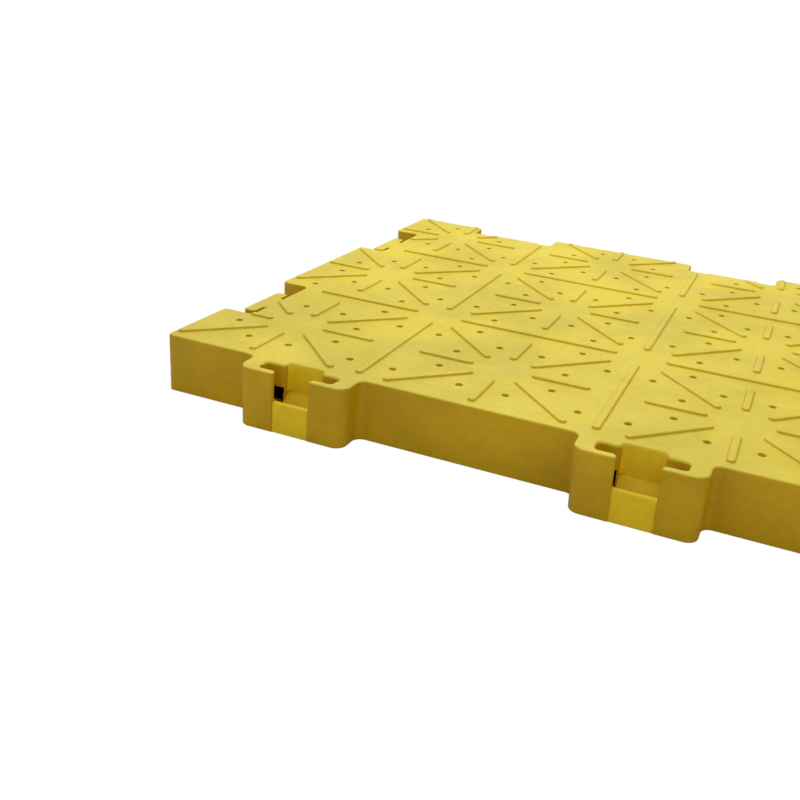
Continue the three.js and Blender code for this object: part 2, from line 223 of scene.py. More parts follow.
class SPILL_PG_stage(PropertyGroup):
    """Camera, floor and light."""

    eye: FloatVectorProperty(
        name="Eye", description="Camera from the deck's middle hub", size=3, subtype="TRANSLATION",
        default=(0.48770, -2.02890, 0.77150),
    )
    azimuth: FloatProperty(
        name="Azimuth",
        description="Direction of view, from +Y",
        default=math.radians(20.097),
        subtype="ANGLE",
    )
    elevation: FloatProperty(
        name="Elevation",
        description="Fall of the view below level",
        default=math.radians(16.791),
        subtype="ANGLE",
    )
    roll: FloatProperty(
        name="Roll",
        description="Lift of the camera's right side",
        default=math.radians(5.064),
        subtype="ANGLE",
    )
    lens: FloatProperty(name="Lens", description="Focal length in millimetres", default=44.017, min=10.0)
    shift: FloatProperty(name="Shift", description="Sideways shift of the lens", default=-0.0744)
    rise: FloatProperty(name="Rise", description="Upward shift of the lens", default=-0.1443)
    floor: colour("Floor", "How the floor lights the pallet from below", (0.66, 0.66, 0.66))
    sky: share("Sky", "Strength of the even light", 0.66, high=5.0)
    overhead: share("Overhead", "Power of the overhead light in watts", 52.0, high=1000.0)


# Outlines, drawn anticlockwise and right-angled


def quarter_turned(corners):
    """Corners turned a quarter turn anticlockwise about the deck's middle."""
    return [(-y, x, radius) for x, y, radius in corners]


def sign(value):
    """-1, 0 or 1."""
    return (value > 1e-9) - (value < -1e-9)


def rounded(corners, inset=0.0, steps=7):
    """Points of a right-angled outline, its corners (x, y, radius) rounded, its edges moved inwards."""
    points = []
    for i, (x, y, radius) in enumerate(corners):
        before = corners[i - 1]
        after = corners[(i + 1) % len(corners)]
        arriving = (sign(x - before[0]), sign(y - before[1]))
        leaving = (sign(after[0] - x), sign(after[1] - y))
        side = arriving[0] * leaving[1] - arriving[1] * leaving[0]
        first = Vector((arriving[1], -arriving[0]))
        second = Vector((leaving[1], -leaving[0]))
        centre = Vector((x, y)) - side * radius * (first + second)
        reach = max(radius - side * inset, 0.0)
        spill = max(side * inset - radius, 0.0)
        if radius == 0.0 or reach < 1e-7:
            points.append(centre + (side * reach - spill) * (first + second))
            continue
        for k in range(steps + 1):
            turn = k / steps * math.pi / 2
            outwards = math.cos(turn) * first + math.sin(turn) * second
            points.append(centre + side * reach * outwards - spill * (first + second))
    return [tuple(point) for point in points]


def half_side():
    """Half the deck's side, from the tray that fits inside it."""
    deck = bpy.context.scene.spill_deck
    return (TRAY_HIGH[ACROSS] - TRAY_LOW[ACROSS]) / 2 + deck.wall + deck.tray_gap


def deck_top():
    """Height of the deck's plain upper face."""
    return DECK_HIGH[UP] - bpy.context.scene.spill_pattern.rib_height


def connector_places():
    """The two connector middles along a side."""
    offset = bpy.context.scene.spill_connector.offset
    return (-offset, offset)


def boss_face():
    """Where the front bosses' faces lie."""
    return -half_side() - bpy.context.scene.spill_connector.boss_reach


def lean_at(height):
    """How far the outer walls lie inside their upper edge at a height."""
    return bpy.context.scene.spill_deck.lean * (1 - height / deck_top())


def boss_corners(place):
    """A boss on the front side."""
    link = bpy.context.scene.spill_connector
    wall, face = -half_side(), boss_face()
    return [
        (place - link.boss_half, wall, link.boss_fillet),
        (place - link.boss_half, face, link.boss_corner),
        (place + link.boss_half, face, link.boss_corner),
        (place + link.boss_half, wall, link.boss_fillet),
    ]


def lead_corners(place):
    """A shallow notch in the front side where a slot's rounded lead runs in behind the boss."""
    link = bpy.context.scene.spill_connector
    wall = -half_side()
    half, back = link.neck + link.wide_lead, boss_face() + link.depth + link.wide_lead
    left, right = place - half, place + half
    return [(left, wall, 0.0), (left, back, 0.0), (right, back, 0.0), (right, wall, 0.0)]


def recess_corners(place):
    """A recess in the back side."""
    link = bpy.context.scene.spill_connector
    wall = half_side()
    back = wall - link.recess_depth
    return [
        (place + link.recess_half, wall, link.recess_corner),
        (place + link.recess_half, back, link.recess_fillet),
        (place - link.recess_half, back, link.recess_fillet),
        (place - link.recess_half, wall, link.recess_corner),
    ]


def deck_corners(front_feature=None):
    """The deck's outline: one feature at each place on the front and right, recesses in the back and left."""
    half = half_side()
    corner = bpy.context.scene.spill_deck.corner
    front = [(-half, -half, corner)]
    back = [(half, half, corner)]
    for place in connector_places():
        front += front_feature(place) if front_feature else []
        back += recess_corners(-place)
    return front + quarter_turned(front) + back + quarter_turned(back)


def tray_corners():
    """The deck's outline without bosses, with the step round the drain."""
    sump = bpy.context.scene.spill_sump
    half = half_side()
    back = half - sump.alcove_depth
    corners = deck_corners()
    last = connector_places()[1] - bpy.context.scene.spill_connector.recess_half
    at = next(i for i, (x, y, _) in enumerate(corners) if abs(x - last) < 1e-6 and abs(y - half) < 1e-6)
    alcove = [
        (sump.alcove_half, half, 0.0),
        (sump.alcove_half, back, 0.0),
        (-sump.alcove_half, back, 0.0),
        (-sump.alcove_half, half, 0.0),
    ]
    return corners[: at + 1] + alcove + corners[at + 1 :]


def tee_head(place, narrow, wide, head, wings, nose, corner):
    """The right half of a tee's head, its nose and the left half, all with one corner radius."""
    right = [(narrow, head), (wide, head), (wide, wings), (narrow, wings), (narrow, nose)]
    left = [(-x, y) for x, y in reversed(right)]
    return [(place + x, y, corner) for x, y in right + left]


def slot_corners(place, height):
    """The slot in a front boss, open at the boss's face, which leans, with rounded corners at the mouth."""
    link = bpy.context.scene.spill_connector
    face = boss_face()
    just_outside = 5e-5
    front = face + lean_at(height) - just_outside
    beyond, mouth = front - 2 * link.inner, link.neck + 4 * link.mouth
    depths = [face + depth for depth in (link.lip, link.shallow, link.depth)]
    right = [(place + mouth, beyond, 0.0), (place + mouth, front, 0.0)]
    right.append((place + link.neck, front, link.mouth))
    left = [(2 * place - x, y, radius) for x, y, radius in reversed(right)]
    return right + tee_head(place, link.neck, link.wing, *depths, link.inner) + left


def slot_back_corners(place):
    """The back part of a slot, whose upper edge has the wide lead."""
    link = bpy.context.scene.spill_connector
    wings, nose = boss_face() + link.shallow, boss_face() + link.depth
    front = wings - CORNER_ROOM * link.inner
    head = tee_head(place, link.neck, link.wing, front, wings, nose, link.inner)
    return head[1:-1]


def tongue_corners(place):
    """The tongue in a back recess, rooted inside the recess's wall."""
    link = bpy.context.scene.spill_connector
    back = half_side() - link.recess_depth
    root = back - bpy.context.scene.spill_deck.wall / 2
    start, end, radius = back + link.head_start, back + link.head_end, link.inner
    right = [(link.stem, root, 0.0), (link.stem, start, radius)]
    right += [(link.head, start, radius), (link.head, end, radius)]
    left = [(-x, y, corner) for x, y, corner in reversed(right)]
    return [(place + x, y, corner) for x, y, corner in right + left]


# Mesh work


def put(name, mesh):
    """A new object for a mesh, in the scene."""
    piece = bpy.data.objects.new(name, mesh)
    bpy.context.scene.collection.objects.link(piece)
    return piece


def object_from(name, points, faces):
    """A new object from points and faces."""
    mesh = bpy.data.meshes.new(name)
    mesh.from_pydata([tuple(point) for point in points], [], faces)
    mesh.update()
    return put(name, mesh)


def ring_stack(bm, outlines, lower_cap, upper_cap):
    """Walls between outlines (points, height), each with the same number of points, and caps where asked."""
    rings = []
    for points, height in outlines:
        rings.append([bm.verts.new((MIDDLE.x + x, MIDDLE.y + y, height)) for x, y in points])
    for ring, following in zip(rings, rings[1:]):
        for k in range(len(ring)):
            after = (k + 1) % len(ring)
            bm.faces.new((ring[k], ring[after], following[after], following[k]))
    if lower_cap:
        bm.faces.new(rings[0][::-1])
    if upper_cap:
        bm.faces.new(rings[-1])
    return rings


def layered(outlines, quarter_turns=0):
    """A closed piece through outlines (points, height), lowest first, turned by whole quarter turns."""
    for _ in range(quarter_turns):
        outlines = [([(-y, x) for x, y in points], height) for points, height in outlines]
    bm = bmesh.new()
    ring_stack(bm, outlines, True, True)
    mesh = bpy.data.meshes.new("layered")
    bm.to_mesh(mesh)
    bm.free()
    return put("layered", mesh)


def prism(outline, low, high, quarter_turns=0):
    """A closed prism over an outline about the deck's middle."""
    return layered([(outline, low), (outline, high)], quarter_turns)


def cross_prism(profile, left, right, quarter_turns=0):
    """A closed prism along X over a profile of (y, z)."""
    bm = bmesh.new()
    ends = []
    for x in (left, right):
        places = [(x, y) if quarter_turns == 0 else (-y, x) for y, _ in profile]
        corners = [(MIDDLE.x + a, MIDDLE.y + b, z) for (a, b), (_, z) in zip(places, profile)]
        ends.append([bm.verts.new(corner) for corner in corners])
    for k in range(len(profile)):
        after = (k + 1) % len(profile)
        bm.faces.new((ends[0][k], ends[0][after], ends[1][after], ends[1][k]))
    bm.faces.new(ends[0][::-1])
    bm.faces.new(ends[1])
    bmesh.ops.recalc_face_normals(bm, faces=bm.faces)
    mesh = bpy.data.meshes.new("cross prism")
    bm.to_mesh(mesh)
    bm.free()
    return put("cross prism", mesh)


def quarter_round(steps):
    """Pairs (across, along) that run a quarter of a circle of radius 1, from (0, 0) to (1, 1)."""
    turns = [math.pi / 2 * k / steps for k in range(steps + 1)]
    return [(1 - math.cos(turn), math.sin(turn)) for turn in turns]


def block(left, right, front, back, low, high, quarter_turns=0):
    """A closed block about the deck's middle."""
    return prism([(left, front), (right, front), (right, back), (left, back)], low, high, quarter_turns)


def bake_modifiers(piece):
    """Puts what the modifiers make into the piece's own mesh."""
    evaluated = piece.evaluated_get(bpy.context.evaluated_depsgraph_get())
    made = bpy.data.meshes.new_from_object(evaluated)
    old = piece.data
    piece.modifiers.clear()
    piece.data = made
    bpy.data.meshes.remove(old)


def combine(piece, tool, operation="DIFFERENCE"):
    """Cuts or joins one closed piece with another, which is used up."""
    modifier = piece.modifiers.new("combine", "BOOLEAN")
    modifier.operation = operation
    modifier.solver = "EXACT"
    modifier.object = tool
    bake_modifiers(piece)
    bpy.data.objects.remove(tool)
    if not piece.data.polygons:
        raise RuntimeError(f"nothing is left of {piece.name} after a {operation.lower()}")


def round_edges(piece, width, segments=3, sharpest=math.radians(40)):
    """Rounds every edge that turns more than an angle."""
    modifier = piece.modifiers.new("round edges", "BEVEL")
    modifier.width = width
    modifier.segments = segments
    modifier.limit_method = "ANGLE"
    modifier.angle_limit = sharpest
    modifier.use_clamp_overlap = False
    modifier.miter_outer = "MITER_SHARP"
    bake_modifiers(piece)


def smooth(piece):
    """Smooth shading that keeps flat faces flat."""
    mesh = piece.data
    mesh.polygons.foreach_set("use_smooth", [True] * len(mesh.polygons))
    mesh.set_sharp_from_angle(angle=math.radians(38))
    weighting = piece.modifiers.new("face weighted normals", "WEIGHTED_NORMAL")
    weighting.keep_sharp = True
    weighting.weight = 100


def lathe(name, profile, steps, centre, along):
    """A closed turned piece from a closed profile of (radius, distance), about an axis through a centre.

    along is the axis, "Y" or "Z". A profile point on the axis becomes one shared point.
    """
    bm = bmesh.new()
    rings = []
    for radius, distance in profile:
        ring = []
        for k in range(steps if radius > 0 else 1):
            turn = 2 * math.pi * k / steps
            a, b = radius * math.cos(turn), radius * math.sin(turn)
            offset = Vector((a, b, distance)) if along == "Z" else Vector((b, distance, a))
            ring.append(bm.verts.new(Vector(centre) + offset))
        rings.append(ring)
    for ring, following in zip(rings, rings[1:] + rings[:1]):
        for k in range(steps):
            corners = [ring[k % len(ring)], ring[(k + 1) % len(ring)]]
            corners += [following[(k + 1) % len(following)], following[k % len(following)]]
            kept = list(dict.fromkeys(corners))
            if len(kept) > 2:
                bm.faces.new(kept)
    bmesh.ops.recalc_face_normals(bm, faces=bm.faces)
    mesh = bpy.data.meshes.new(name)
    bm.to_mesh(mesh)
    bm.free()
    return put(name, mesh)


# The starburst pattern


def to_edge(point, edge):
    """How far a point lies inside a closed outline, or -1 outside it."""
    x, y = point
    inside = False
    nearest = math.inf
    for i, (x1, y1) in enumerate(edge):
        x2, y2 = edge[(i + 1) % len(edge)]
        if (y1 > y) != (y2 > y) and x < x1 + (y - y1) / (y2 - y1) * (x2 - x1):
            inside = not inside
        run = (x2 - x1) ** 2 + (y2 - y1) ** 2
        t = min(max(((x - x1) * (x2 - x1) + (y - y1) * (y2 - y1)) / run, 0.0), 1.0) if run else 0.0
        nearest = min(nearest, math.hypot(x - x1 - t * (x2 - x1), y - y1 - t * (y2 - y1)))
    return nearest if inside else -1.0


def trimmed(start, end, margin, edge):
    """A rib's centre line, shortened from either end until it keeps its margin to the edge."""
    steps = 60
    line = [Vector(start).lerp(Vector(end), k / steps) for k in range(steps + 1)]
    clear = [point for point in line if to_edge(point, edge) >= margin]
    return (clear[0], clear[-1]) if clear else None


def rib_lines(edge):
    """Centre lines of all ribs, about the deck's middle."""
    pattern = bpy.context.scene.spill_pattern
    near, far, diagonal = (part * CELL for part in (pattern.near, pattern.far, pattern.diagonal))
    half = CELL / 2
    lines = []
    for hub in HUBS:
        x, y = hub.x - MIDDLE.x, hub.y - MIDDLE.y
        for s in (-1, 1):
            lines.append(trimmed((x + s * near, y), (x + s * far, y), pattern.margin, edge))
            lines.append(trimmed((x, y + s * near), (x, y + s * far), pattern.margin, edge))
            for t in (-1, 1):
                start = (x + s * diagonal, y + t * diagonal)
                lines.append(trimmed(start, (x + s * far, y + t * far), pattern.margin, edge))
        if y < half:
            lines.append(trimmed((x - far, y + half), (x + far, y + half), pattern.margin_across, edge))
        if x < half:
            lines.append(trimmed((x + half, y - far), (x + half, y + far), pattern.margin_along, edge))
    return [line for line in lines if line]


def hole_places(edge):
    """Middles of the drain holes, about the deck's middle."""
    pattern = bpy.context.scene.spill_pattern
    inner, middle, outer = pattern.hole_inner, pattern.hole_middle, pattern.hole_outer
    places = []
    for hub in HUBS:
        for a, b in ((inner, middle), (outer, middle), (middle, inner), (middle, outer)):
            for s in (-1, 1):
                for t in (-1, 1):
                    place = (hub.x - MIDDLE.x + s * a * CELL, hub.y - MIDDLE.y + t * b * CELL)
                    if to_edge(place, edge) >= pattern.hole_margin:
                        places.append(place)
    return places


def stadium(line, radius, steps=6):
    """Anticlockwise points of a bar with round ends, about a centre line."""
    start, end = line
    heading = math.atan2(end[1] - start[1], end[0] - start[0])
    points = []
    for point, first in ((end, heading - math.pi / 2), (start, heading + math.pi / 2)):
        for k in range(steps + 1):
            turn = first + math.pi * k / steps
            points.append((point[0] + radius * math.cos(turn), point[1] + radius * math.sin(turn)))
    return points


def circle(place, radius, steps=20):
    """Anticlockwise points of a circle."""
    turns = [2 * math.pi * k / steps for k in range(steps)]
    return [(place[0] + radius * math.cos(turn), place[1] + radius * math.sin(turn)) for turn in turns]


def refill(bm, face, loops):
    """Replaces a flat face by triangles that leave out the loops, which are all convex."""
    upwards = face.normal.z > 0
    outlines = [list(face.verts)] + loops
    bmesh.ops.delete(bm, geom=[face], context="FACES_ONLY")
    verts, edges, owners = [], [], []
    for number, outline in enumerate(outlines):
        first, count = len(verts), len(outline)
        edges += [(first + k, first + (k + 1) % count) for k in range(count)]
        verts += outline
        owners += [number] * count
    inside_constraints = 1
    made = delaunay_2d_cdt([vert.co.xy for vert in verts], edges, [], inside_constraints, 1e-7)
    sources = [source[0] if source else None for source in made[3]]
    if len(made[0]) != len(verts) or None in sources:
        raise RuntimeError("the ribs or holes cross each other or the deck's edge")
    for triangle in made[2]:
        numbers = [sources[index] for index in triangle]
        touched = {owners[number] for number in numbers}
        if len(touched) == 1 and 0 not in touched:
            continue
        corners = [verts[number] for number in numbers]
        turn = (corners[1].co - corners[0].co).cross(corners[2].co - corners[0].co).z
        bm.faces.new(corners if (turn > 0) == upwards else corners[::-1])


def flat_faces(bm, height, upwards):
    """The flat faces at one height that look up or down, largest first."""
    found = []
    for face in bm.faces:
        level = all(abs(vert.co.z - height) < 1e-5 for vert in face.verts)
        if level and (face.normal.z > 0.99 if upwards else face.normal.z < -0.99):
            found.append(face)
    return sorted(found, key=lambda face: -face.calc_area())


# Materials


class Nodes:
    """A small helper that adds and joins a material's nodes."""

    def __init__(self, name):
        self.material = bpy.data.materials.new(name)
        self.material.use_nodes = True
        self.tree = self.material.node_tree
        self.tree.nodes.clear()
        self.output = self.tree.nodes.new("ShaderNodeOutputMaterial")
        self.shader = self.tree.nodes.new("ShaderNodeBsdfPrincipled")
        self.join(self.shader.outputs["BSDF"], self.output.inputs["Surface"])
        self.place = self.tree.nodes.new("ShaderNodeTexCoord").outputs["Object"]

    def join(self, source, target):
        """Links an output to an input."""
        self.tree.links.new(source, target)

    def noise(self, scale, detail=3.0, roughness=0.5, stretch=None):
        """Noise over the piece, with scale in cycles for each metre."""
        place = self.place
        if stretch:
            mapping = self.tree.nodes.new("ShaderNodeMapping")
            mapping.inputs["Scale"].default_value = stretch
            self.join(place, mapping.inputs["Vector"])
            place = mapping.outputs["Vector"]
        node = self.tree.nodes.new("ShaderNodeTexNoise")
        node.inputs["Scale"].default_value = scale
        node.inputs["Detail"].default_value = detail
        node.inputs["Roughness"].default_value = roughness
        self.join(place, node.inputs["Vector"])
        return node.outputs["Fac"]

    def spread(self, value, low, high, to_low=0.0, to_high=1.0):
        """Maps a range of a value to another range, and holds it there."""
        node = self.tree.nodes.new("ShaderNodeMapRange")
        node.interpolation_type = "SMOOTHSTEP"
        node.inputs["From Min"].default_value = low
        node.inputs["From Max"].default_value = high
        node.inputs["To Min"].default_value = to_low
        node.inputs["To Max"].default_value = to_high
        self.join(value, node.inputs["Value"])
        return node.outputs["Result"]

    def mix(self, factor, first, second, blend="MIX"):
        """Mixes two colours. Each input is an output to join, or a plain value."""
        node = self.tree.nodes.new("ShaderNodeMix")
        node.data_type = "RGBA"
        node.blend_type = blend
        for socket, given in ((node.inputs[0], factor), (node.inputs[6], first), (node.inputs[7], second)):
            if isinstance(given, bpy.types.NodeSocket):
                self.join(given, socket)
            elif isinstance(given, (int, float)):
                socket.default_value = given
            else:
                socket.default_value = (*given, 1.0)
        return node.outputs[2]

    def multiply(self, first, second):
        """The product of an output and a number or another output."""
        node = self.tree.nodes.new("ShaderNodeMath")
        node.operation = "MULTIPLY"
        self.join(first, node.inputs[0])
        if isinstance(second, bpy.types.NodeSocket):
            self.join(second, node.inputs[1])
        else:
            node.inputs[1].default_value = second
        return node.outputs[0]

    def bump(self, height, distance, strength=1.0, under=None):
        """Bump of a real height in metres, on top of another bump."""
        node = self.tree.nodes.new("ShaderNodeBump")
        node.inputs["Distance"].default_value = distance
        node.inputs["Strength"].default_value = strength
        self.join(height, node.inputs["Height"])
        if under is not None:
            self.join(under, node.inputs["Normal"])
        return node.outputs["Normal"]

    def facing_up(self):
        """1 on faces that look up, 0 on upright and lower faces."""
        geometry = self.tree.nodes.new("ShaderNodeNewGeometry")
        parts = self.tree.nodes.new("ShaderNodeSeparateXYZ")
        self.join(geometry.outputs["True Normal"], parts.inputs[0])
        return self.spread(parts.outputs["Z"], 0.25, 0.95)

    def above(self, low, high):
        """0 below one height, 1 above another."""
        parts = self.tree.nodes.new("ShaderNodeSeparateXYZ")
        self.join(self.place, parts.inputs[0])
        return self.spread(parts.outputs["Z"], low, high)

    def painted(self, name):
        """The value that a mesh attribute holds on each face."""
        node = self.tree.nodes.new("ShaderNodeAttribute")
        node.attribute_name = name
        return node.outputs["Fac"]

    def corners(self, distance):
        """1 in corners and crevices, 0 in the open, from ambient occlusion: the mask for painted shade."""
        node = self.tree.nodes.new("ShaderNodeAmbientOcclusion")
        node.samples = 6
        node.inputs["Distance"].default_value = distance
        return self.spread(node.outputs["AO"], 0.30, 0.85, 1.0, 0.0)


def yellow_with_painted_light(painted_sheen_from):
    """Moulded yellow polyethylene with painted light: a paler painted sheen on the upper face, a lighter
    painted fill light in the slots and drain holes, and painted shade mixed with dirt in corners.
    """
    finish = bpy.context.scene.spill_finish
    work = Nodes("yellow_polyethylene_with_painted_light")
    broad = work.noise(5.5, 4.0, 0.55)
    fine = work.noise(70.0, 4.0, 0.6)
    light = [1.0 + finish.mottle] * 3
    dark = [1.0 - finish.mottle] * 3
    # Painted sheen: upward faces above a height get the paler top yellow, for the light that falls on them.
    painted_top_sheen = work.multiply(work.facing_up(), work.above(painted_sheen_from - 0.004, painted_sheen_from - 0.001))
    # Painted fill light: the faces marked in the slots and drain holes get a lighter yellow.
    walls_with_fill_light = work.mix(work.painted("painted_fill_light"), tuple(finish.walls), tuple(finish.painted_fill_light))
    base = work.mix(painted_top_sheen, walls_with_fill_light, tuple(finish.top))
    clouds = work.mix(work.spread(broad, 0.32, 0.68), dark, light)
    specks = work.mix(work.spread(fine, 0.30, 0.72), [0.965] * 3, [1.035] * 3)
    varied = work.mix(1.0, work.mix(1.0, base, clouds, "MULTIPLY"), specks, "MULTIPLY")
    # Painted shade with dirt: ambient occlusion darkens corners and crevices towards the grime colour, broken
    # up by noise.
    held = work.multiply(work.corners(0.010), work.spread(work.noise(22.0), 0.30, 0.75, 0.06, 0.30))
    work.join(work.mix(held, varied, tuple(finish.corner_shade_and_grime)), work.shader.inputs["Base Color"])
    polish = work.spread(work.noise(14.0, 3.0), 0.30, 0.70, finish.roughness - 0.07, finish.roughness + 0.09)
    work.join(polish, work.shader.inputs["Roughness"])
    waves = work.bump(work.noise(16.0, 2.0), 0.0035)
    peel = work.bump(work.noise(260.0, 2.0), 0.00035, under=waves)
    work.join(peel, work.shader.inputs["Normal"])
    work.shader.inputs["Specular IOR Level"].default_value = 0.22
    return work.material


def moulded_black(name, tint, roughness, peel_scale, peel_height):
    """Moulded black plastic with a fine grain, dust and uneven polish."""
    work = Nodes(name)
    dust = work.multiply(work.facing_up(), work.spread(work.noise(9.0, 4.0), 0.38, 0.75, 0.0, 0.10))
    clouds = work.mix(work.spread(work.noise(6.0), 0.3, 0.7), [0.80] * 3, [1.25] * 3)
    base = work.mix(1.0, tuple(tint), clouds, "MULTIPLY")
    work.join(work.mix(dust, base, (0.32, 0.30, 0.26)), work.shader.inputs["Base Color"])
    polish = work.spread(work.noise(30.0), 0.3, 0.7, roughness - 0.07, roughness + 0.07)
    work.join(polish, work.shader.inputs["Roughness"])
    waves = work.bump(work.noise(18.0, 2.0), 0.002)
    work.join(work.bump(work.noise(peel_scale, 2.0), peel_height, under=waves), work.shader.inputs["Normal"])
    return work.material


def finish_piece(piece, body, slot, material, *nodes):
    """Gives a piece its material and smooth shading, hangs it on the body it moves with and hides the CAD
    nodes it stands in for.
    """
    piece.data.materials.clear()
    piece.data.materials.append(material)
    smooth(piece)
    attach(piece, body)
    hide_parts(*nodes)


# Pieces


class SPILL_OT_deck(Operator):
    """Builds the deck: its walls, bosses, slots, tongues, ribs, drain holes and webs"""

    bl_idname = "spill.deck"
    bl_label = "Deck"

    def execute(self, context):
        """Builds the outer skin, leans its walls, hollows it and works the pattern into its plate."""
        deck, link = context.scene.spill_deck, context.scene.spill_connector
        top = deck_top()
        piece = self.skin(deck, top)
        for place in connector_places():
            for turns in (0, 1):
                combine(piece, self.tongue(place, link, turns), "UNION")
                for tool in self.slot_tools(place, link, top, turns):
                    combine(piece, tool)
        self.hollow(piece, deck, link, top)
        self.work_plate(piece, deck, top)
        # Marks the faces that get the painted fill light.
        self.mark_painted_fill_light(piece, link, top)
        # The deck's material paints a paler sheen on upward faces above the tongues' tops.
        finish_piece(piece, "deck", "deck_polyethylene", yellow_with_painted_light(link.tongue_top), "deck")
        return {"FINISHED"}

    @staticmethod
    def skin(deck, top):
        """The outside: walls that lean in to a rounded foot, under a rounded upper edge."""
        corners = deck_corners(boss_corners)
        levels = []
        for across, along in reversed(quarter_round(3)):
            levels.append((lean_at(0.0) + deck.foot * across, deck.foot * (1 - along)))
        for across, along in quarter_round(5):
            levels.append((deck.edge * across, top - deck.edge * (1 - along)))
        piece = layered([(rounded(corners, inset), height) for inset, height in levels])
        piece.name = "deck_moulding"
        return piece

    @staticmethod
    def tongue(place, link, turns):
        """A tongue with rounded upper and lower edges."""
        corners, edge = tongue_corners(place), link.tongue_edge
        steps = quarter_round(3)
        bottom = link.tongue_bottom
        levels = [(edge * across, bottom + edge * (1 - along)) for across, along in reversed(steps)]
        levels += [(edge * across, link.tongue_top - edge * (1 - along)) for across, along in steps]
        return layered([(rounded(corners, inset), height) for inset, height in levels], turns)

    @staticmethod
    def slot_tools(place, link, top, turns):
        """What is cut out of a boss: slot, wide lead, panel with trough and ramp, and the wings' troughs."""
        face, above = boss_face(), top + link.lip
        sunk, overlap = link.sill + LAP, link.sill + 3 * LAP
        flares = [(top - link.lead * (1 - along), link.lead * across) for across, along in quarter_round(4)]
        levels = [(sunk, 0.0)] + flares
        levels.append((above, link.lead))
        yield layered([(rounded(slot_corners(place, z), -flare), z) for z, flare in levels], turns)
        corners = slot_back_corners(place)
        reach, start = link.wide_lead, -LEAD_SINK
        levels = [(top - reach * (1 - along), start + reach * across) for across, along in quarter_round(6)]
        levels.append((above, start + reach))
        yield layered([(rounded(corners, -flare), z) for z, flare in levels], turns)
        round_off = link.panel_round
        back_round = PANEL_BACK_ROUND * round_off
        front = face + link.panel_set
        outside = face - link.lip
        profile = [(outside, -link.lip), (front + lean_at(-link.lip), -link.lip)]
        low_front = front + lean_at(link.sill)
        for across, along in quarter_round(4):
            profile.append((low_front + round_off * across, link.sill - round_off * (1 - along)))
        for across, along in reversed(quarter_round(4)):
            back = face + link.lip - back_round * across
            profile.append((back, link.sill - back_round * (1 - along)))
        profile += [(face + link.lip, link.trough), (face + link.ramp, link.trough)]
        profile += [(face + link.depth, link.sill), (face + link.depth, overlap), (outside, overlap)]
        yield cross_prism(profile, place - link.neck, place + link.neck, turns)
        for side in (-1, 1):
            near, far = place + side * (link.neck - SLIVER), place + side * link.wing
            low, high = min(near, far), max(near, far)
            radii = (link.inner, 0.0) if side < 0 else (0.0, link.inner)
            corners = [(low, face + link.lip, radii[0]), (high, face + link.lip, radii[1])]
            corners += [(high, face + link.shallow, radii[1]), (low, face + link.shallow, radii[0])]
            yield prism(rounded(corners), link.trough, overlap, turns)

    @staticmethod
    def hollow(piece, deck, link, top):
        """The space for the tray, bays between the webs, hollow bosses, ports and the drain's notch."""
        half, face = half_side(), boss_face()
        under, web_foot = top - deck.wall, top - deck.wall - deck.web_depth
        inner = rounded(deck_corners(), deck.wall)
        bays = prism(inner, web_foot - deck.wall / 4, under)
        for at in (-CELL / 2, CELL / 2):
            near, far = at - deck.web / 2, at + deck.web / 2
            shift = HUBS[4].y - MIDDLE.y
            combine(bays, block(near, far, -half, half, web_foot, top))
            combine(bays, block(-half, half, shift + near, shift + far, web_foot, top))
        combine(bays, prism(inner, -deck.wall, web_foot), "UNION")
        combine(piece, bays)
        notch = (-deck.notch_half, deck.notch_half, half - 2 * deck.wall, half + deck.wall)
        combine(piece, block(*notch, -deck.wall, deck.notch_top))
        front, back = face + deck.wall, -half + 2 * deck.wall
        for place in connector_places():
            left, right = place - link.boss_half + deck.wall, place + link.boss_half - deck.wall
            radius = link.boss_corner - deck.wall
            corners = [(left, -half, 0.0), (left, front, radius), (right, front, radius), (right, -half, 0.0)]
            port = (place - link.port_left, place - link.port_right, face + link.shallow - LAP, back)
            for turns in (0, 1):
                combine(piece, prism(rounded(corners), -deck.wall, link.trough - deck.wall, turns))
                combine(piece, block(*port, link.trough, link.port_top, turns))

    @staticmethod
    def work_plate(piece, deck, top):
        """Raises the ribs out of the plate and takes the drain holes through it."""
        pattern = bpy.context.scene.spill_pattern
        edge = rounded(deck_corners(lead_corners))
        under = top - deck.wall
        foot, height, rim, bore = pattern.rib_foot, pattern.rib_height, pattern.hole_rim, pattern.hole
        rib_section = [(out * foot, up * height) for out, up in RIB_SECTION]
        rim_section = [(bore + rim * (1 - math.sin(t)), -rim * (1 - math.cos(t))) for t in RIM_TURNS]
        bm = bmesh.new()
        bm.from_mesh(piece.data)
        bm.normal_update()
        plate = flat_faces(bm, top, True)[0]
        ceilings = flat_faces(bm, under, False)[:9]
        loops = []
        for line in rib_lines(edge):
            outlines = [(stadium(line, radius), top + rise) for radius, rise in rib_section]
            loops.append(ring_stack(bm, outlines, False, True)[0])
        below = []
        for place in hole_places(edge):
            outlines = [(circle(place, radius), top + rise) for radius, rise in rim_section]
            outlines.append((circle(place, bore), under))
            rings = ring_stack(bm, outlines, False, False)
            loops.append(rings[0])
            below.append((Vector((MIDDLE.x + place[0], MIDDLE.y + place[1])), rings[-1]))
        for ceiling in ceilings:
            edge_points = [tuple(vert.co.xy) for vert in ceiling.verts]
            inside = [ring for place, ring in below if to_edge(tuple(place), edge_points) > 0]
            refill(bm, ceiling, inside)
        refill(bm, plate, loops)
        bm.to_mesh(piece.data)
        bm.free()

